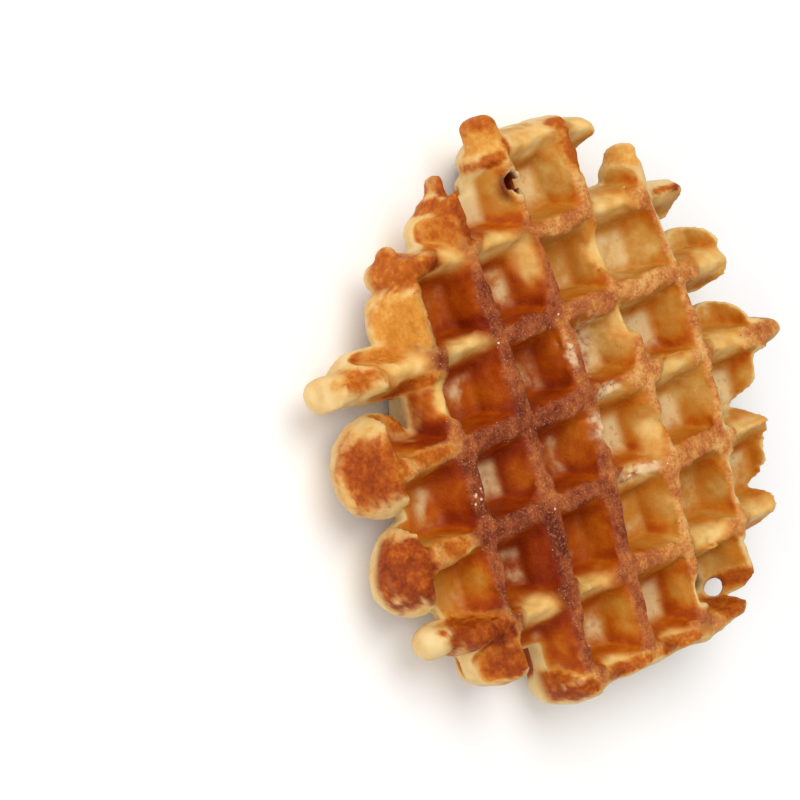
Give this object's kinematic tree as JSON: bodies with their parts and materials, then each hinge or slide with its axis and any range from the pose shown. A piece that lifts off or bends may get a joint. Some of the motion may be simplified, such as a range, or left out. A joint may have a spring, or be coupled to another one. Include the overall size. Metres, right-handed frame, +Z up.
{
  "type": "sugar waffle",
  "caption": "Baked sugar waffle: an uneven oval slab with a grid of ridges and square pockets on both faces, its rim breaking up into rounded lobes and fingers.",
  "frame": {"origin": "middle of the waffle's outline, on the plane of the lower face's ridge tops", "axes": "+Z up out of the shown face, +Y along the ridges toward the far edge, +X along the ridges to the right"},
  "size_m": [0.105, 0.0998, 0.018],
  "materials": {
    "baked_crust": "satin"
  },
  "bodies": {
    "root": {"waffle": "baked_crust"}
  },
  "joints": []
}
